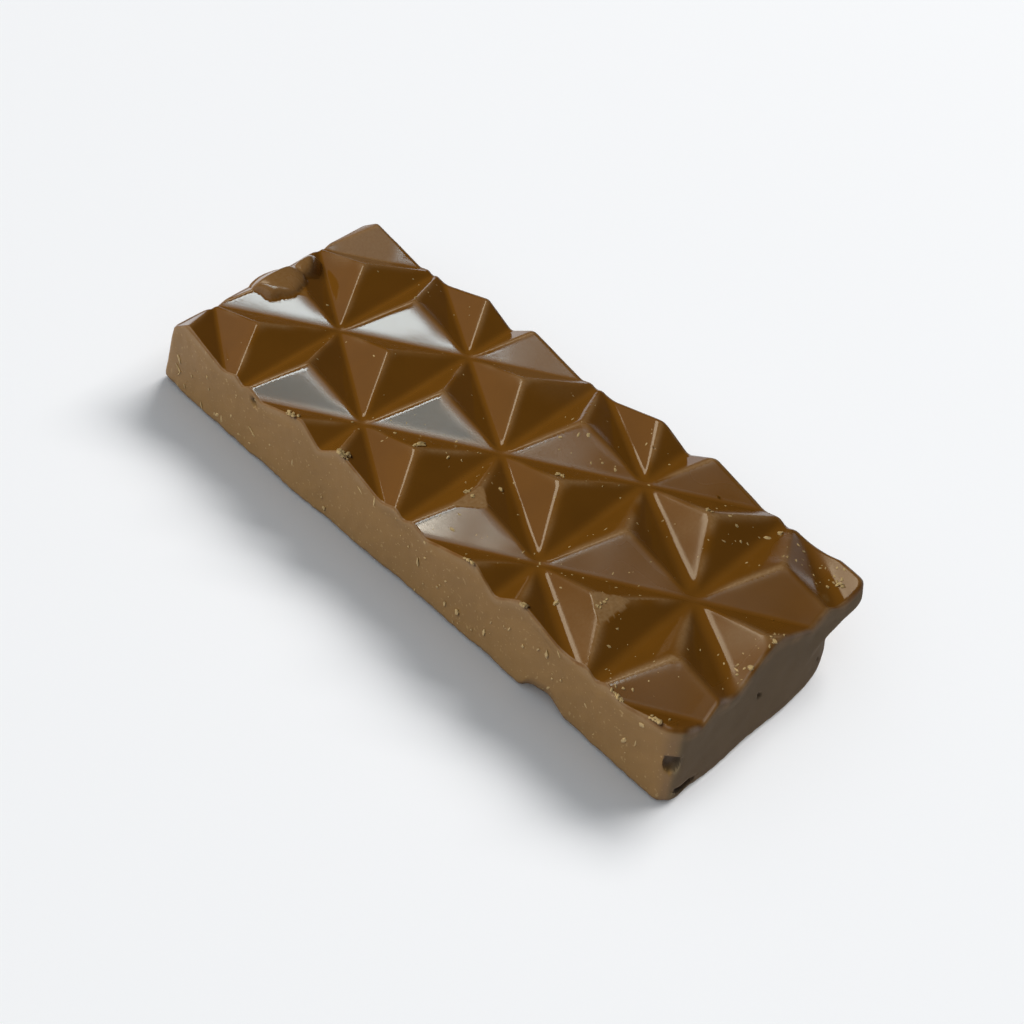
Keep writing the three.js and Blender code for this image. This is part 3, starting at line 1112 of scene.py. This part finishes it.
# Clusters of crumbs on the relief and its rim, from the tile corner in millimetres: along, across, reach,
# how many and half the length of one.
CRUMBS = (
    (22.0, -17.1, 0.75, 28, 0.27), (10.9, -17.4, 0.9, 12, 0.22), (46.9, -17.4, 0.9, 6, 0.32),
    (56.7, -17.4, 0.4, 5, 0.38), (58.1, -13.0, 0.1, 2, 0.42), (78.5, -17.7, 0.9, 16, 0.25),
    (72.5, -17.8, 1.1, 12, 0.2), (28.1, -9.3, 0.5, 4, 0.24), (44.8, 1.3, 0.6, 6, 0.24),
    (80.5, 14.9, 0.7, 8, 0.2), (38.9, -9.2, 0.8, 5, 0.25), (63.2, -10.5, 1.0, 6, 0.25),
    (62.4, 10.2, 0.6, 3, 0.3), (81.6, 0.6, 1.4, 8, 0.15), (81.7, -5.0, 1.2, 6, 0.15),
    (70.1, 16.2, 0.2, 2, 0.35),
)
# How far from the right end and from the front the crumbs stay.
RIM_GAP, FRONT_GAP = 0.9 * MM, 0.3 * MM
# How many specks lie on the relief, out of how many times as many places, and streaks on the front wall.
DUST_COUNT = 260
DUST_CHOICE = 4
WALL_DUST_COUNT = 130
# What lies on the relief: how far sizes vary, least and most length, width and thickness and how far it
# stands out, all in half lengths, rows of points between the poles, and the seed of the shapes.
CRUMB = (0.35, ((1.0, 0.6, 0.45), (1.5, 1.0, 0.8)), 0.2, 3, 42)
SPECK = (0.45, ((1, 0.6, 0.4), (1.8, 1, 0.8)), -0.2, 2, 44)
CRUMB_SEED, DUST_SEED = 41, 43
# The scatter of a cluster in its reaches. Half the length of a speck, and how loosely the specks gather.
SCATTER = 0.6
SPECK_SIZE, LOOSE = 0.11 * MM, 0.7
# Shares of the bar's length and width where specks lie, and of its length and height where streaks do. A
# power below 1 gathers them to the right, one above 1 to the left.
SPECKS_ALONG, SPECKS_RIGHT, SPECKS_ACROSS = (0.05, 0.96), 0.7, (0.07, 0.95)
STREAKS_ALONG, STREAKS_LEFT, STREAKS_UP = (0.06, 0.98), 1.25, (0.1, 0.97)
# A streak's half width, how far it varies, its lean, how many widths longer it may be, the power that keeps
# most of them short, its thickness in widths, rows of points and the seed of the shapes.
STREAK_SIZE, STREAK_VARIES, STREAK_LEAN = 0.13 * MM, 0.55, 0.5
STREAK_LONGER, STREAK_SHORT, STREAK_THICK = 5, 3, 0.35
STREAK_ROWS, STREAK_SEED = 2, 45


class CHOCOLATE_OT_crumbs(ChocolateOperator, bpy.types.Operator):
    """Strews crumbs and dust over the relief and the front wall"""

    bl_idname = "chocolate.crumbs"
    bl_label = "Crumbs"

    def execute(self, context):
        relief = Relief(context.scene.chocolate_sizes)
        material = crumb_finish(context.scene.chocolate_colours)
        self.add("crumbs", self.crumbs(relief), material)
        self.add("dust", self.dust(relief), material)
        return {"FINISHED"}

    def add(self, name, made, material):
        piece = new_piece(name, *made, material, {}, smooth=False)
        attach(piece, "root")

    def strewn(self, relief, rng, x, y, size, kind):
        """Crumbs of one kind on the relief, of about the given half lengths, at random turns."""
        varies, spans, lift, rows, seed = kind
        size = size * rng.lognormal(0, varies, len(x))
        normal = relief.normals(x, y)
        places = np.stack([x, y, relief.height(x, y)], -1) + normal * (lift * size)[:, None]
        spans = size[:, None] * rng.uniform(*spans, (len(x), 3))
        return crumbs(places, upright_frames(normal, rng.uniform(0, 2 * math.pi, len(x))), spans, rows, seed)

    def crumbs(self, relief):
        """The crumbs of every cluster, strewn about its middle and lying on the relief at random turns."""
        rng = np.random.default_rng(CRUMB_SEED)
        along, across, reach, count, size = np.array(CRUMBS).T
        count = count.astype(int)
        along, across, reach, size = (np.repeat(part, count) * MM for part in (along, across, reach, size))
        scatter = rng.normal(0, SCATTER, (2, len(size))) * reach
        right = BAR_HIGH.x - relief.sizes.flare_right - RIM_GAP
        front = BAR_LOW.y + relief.sizes.flare_front + FRONT_GAP
        x = np.minimum(relief.corner[0] + along + scatter[0], right)
        y = np.maximum(relief.corner[1] + across + scatter[1], front)
        return self.strewn(relief, rng, x, y, size, CRUMB)

    def dust(self, relief):
        """Fine specks on the relief and streaks down the front wall."""
        rng = np.random.default_rng(DUST_SEED)
        over, first = self.specks(relief, rng)
        down, second = self.streaks(relief, rng)
        return np.concatenate([over, down]), np.concatenate([first, second + len(over)])

    def specks(self, relief, rng):
        """Specks on the relief, more of them to the right: of many random places, those where a random wave
        is highest, chosen loosely."""
        choice = DUST_CHOICE * DUST_COUNT
        along = rng.uniform(*SPECKS_ALONG, choice) ** SPECKS_RIGHT
        across = rng.uniform(*SPECKS_ACROSS, choice)
        low, high = np.array(BAR_LOW)[:2], np.array(BAR_HIGH)[:2]
        place = low + np.column_stack([along, across]) * (high - low)
        order = np.argsort(-ripple(place, "dust") - rng.normal(0, LOOSE, choice))
        x, y = place[order[:DUST_COUNT]].T
        return self.strewn(relief, rng, x, y, SPECK_SIZE, SPECK)

    def streaks(self, relief, rng):
        """Streaks on the front wall, more of them to the left, that run down it with a random lean."""
        count = WALL_DUST_COUNT
        u = rng.uniform(*STREAKS_ALONG, count) ** STREAKS_LEFT
        z = relief.body * rng.uniform(*STREAKS_UP, count)
        places = np.column_stack([Walls(relief).outline(u, np.zeros(count), z, np.zeros(count)), z])
        slope = relief.sizes.flare_front / relief.body
        facing = np.tile(np.array([0, -1, slope]) / math.hypot(1, slope), (count, 1))
        size = STREAK_SIZE * rng.lognormal(0, STREAK_VARIES, count)
        long = 1 + STREAK_LONGER * rng.uniform(0, 1, count) ** STREAK_SHORT
        spans = size[:, None] * np.stack([np.ones(count), long, np.full(count, STREAK_THICK)], -1)
        frames = upright_frames(facing, rng.normal(0, STREAK_LEAN, count))
        return crumbs(places, frames, spans, STREAK_ROWS, STREAK_SEED)


class CHOCOLATE_OT_studio(ChocolateOperator, bpy.types.Operator):
    """Sets up the pale floor, the soft light and the camera"""

    bl_idname = "chocolate.studio"
    bl_label = "Studio"

    def execute(self, context):
        studio = context.scene.chocolate_studio
        lit = {name: bpy.data.collections.new("lit_" + name) for name in ("bar", "floor")}
        for piece in context.scene.objects:
            lit["bar"].objects.link(piece)
        lit["floor"].objects.link(self.floor(context))
        up = Vector((0, 0, 1))
        for name, ((left, right, near, beyond), tint, mirrored) in PANELS.items():
            middle = (SILL * left + ACROSS * near + SILL * right + ACROSS * beyond) / 2
            span = ((right - left) * PANEL_HEIGHT, (beyond - near) * PANEL_HEIGHT)
            place = (middle + up) * PANEL_HEIGHT
            self.lamp(name, place, up, span, tint, getattr(studio, name), lit["bar"], mirrored)
        for name, (place, span, tint, target) in LAMPS.items():
            back = Vector(place).normalized()
            self.lamp(name, place, back, span, tint, getattr(studio, name), lit[target], True)
        self.surroundings(context, studio.fill)
        self.camera(context, studio)
        context.scene.view_settings.view_transform = "Standard"
        return {"FINISHED"}

    def floor(self, context):
        """A square far larger than the view."""
        square = np.array([[-1, -1, 0], [1, -1, 0], [1, 1, 0], [-1, 1, 0]]) * FLOOR_REACH
        material = floor_finish(context.scene.chocolate_colours)
        made = new_piece("floor", square, [(0, 1, 2, 3)], material, {})
        return made

    def lamp(self, name, place, back, span, tint, power, lit, mirrored):
        """A panel that lights only one collection and faces away from back, with a side along the sill."""
        light = bpy.data.lights.new(name, "AREA")
        light.shape = "RECTANGLE"
        light.size, light.size_y = span
        light.color = tint
        light.energy = power
        holder = bpy.data.objects.new(name, light)
        holder.location = place
        level = (SILL - back * SILL.dot(back)).normalized()
        holder.rotation_euler = Matrix((level, back.cross(level), back)).transposed().to_euler()
        holder.light_linking.receiver_collection = lit
        holder.visible_glossy = mirrored
        bpy.context.scene.collection.objects.link(holder)

    def surroundings(self, context, brightness):
        world = bpy.data.worlds.new("studio")
        world.use_nodes = True
        backdrop = world.node_tree.nodes["Background"]
        backdrop.inputs["Color"].default_value = (1, 1, 1, 1)
        backdrop.inputs["Strength"].default_value = brightness
        context.scene.world = world

    def camera(self, context, studio):
        """Looks at the aim from the given azimuth, elevation and distance, then rolls."""
        lens = bpy.data.cameras.new("camera")
        lens.sensor_width = SENSOR_WIDTH
        lens.lens = studio.lens
        lens.clip_start = NEAREST_VIEW
        around, over = studio.azimuth, studio.elevation
        back = Vector((math.sin(around) * math.cos(over), -math.cos(around) * math.cos(over), math.sin(over)))
        aim = Vector((studio.aim_along, studio.aim_across, studio.aim_height))
        turn = back.to_track_quat("Z", "Y").to_matrix() @ Matrix.Rotation(studio.roll, 3, "Z")
        holder = bpy.data.objects.new("camera", lens)
        holder.matrix_world = Matrix.Translation(aim + back * studio.distance) @ turn.to_4x4()
        context.scene.collection.objects.link(holder)
        context.scene.camera = holder


class CHOCOLATE_PT_panel(bpy.types.Panel):
    """Lists the steps and the sizes and colours they use"""

    bl_label = "Chocolate Bar"
    bl_idname = "CHOCOLATE_PT_panel"
    bl_space_type = "VIEW_3D"
    bl_region_type = "UI"
    bl_category = "Chocolate"

    def draw(self, context):
        for step in STEPS:
            self.layout.operator(step.bl_idname)
        for name, group in GROUPS.items():
            for key in group.__annotations__:
                self.layout.prop(getattr(context.scene, name), key)


GROUPS = {
    "chocolate_sizes": ChocolateBarSizes,
    "chocolate_colours": ChocolateColours,
    "chocolate_studio": StudioSettings,
}
STEPS = (CHOCOLATE_OT_bar, CHOCOLATE_OT_crumbs, CHOCOLATE_OT_studio)


def register():
    for key, group in GROUPS.items():
        bpy.utils.register_class(group)
        setattr(bpy.types.Scene, key, bpy.props.PointerProperty(type=group))
    for kind in (*STEPS, CHOCOLATE_PT_panel):
        bpy.utils.register_class(kind)


def unregister():
    for kind in (CHOCOLATE_PT_panel, *reversed(STEPS)):
        bpy.utils.unregister_class(kind)
    for key, group in GROUPS.items():
        delattr(bpy.types.Scene, key)
        bpy.utils.unregister_class(group)


def main():
    register()
    bpy.ops.chocolate.bar()
    bpy.ops.chocolate.crumbs()
    bpy.ops.chocolate.studio()


if __name__ == "__main__":
    main()
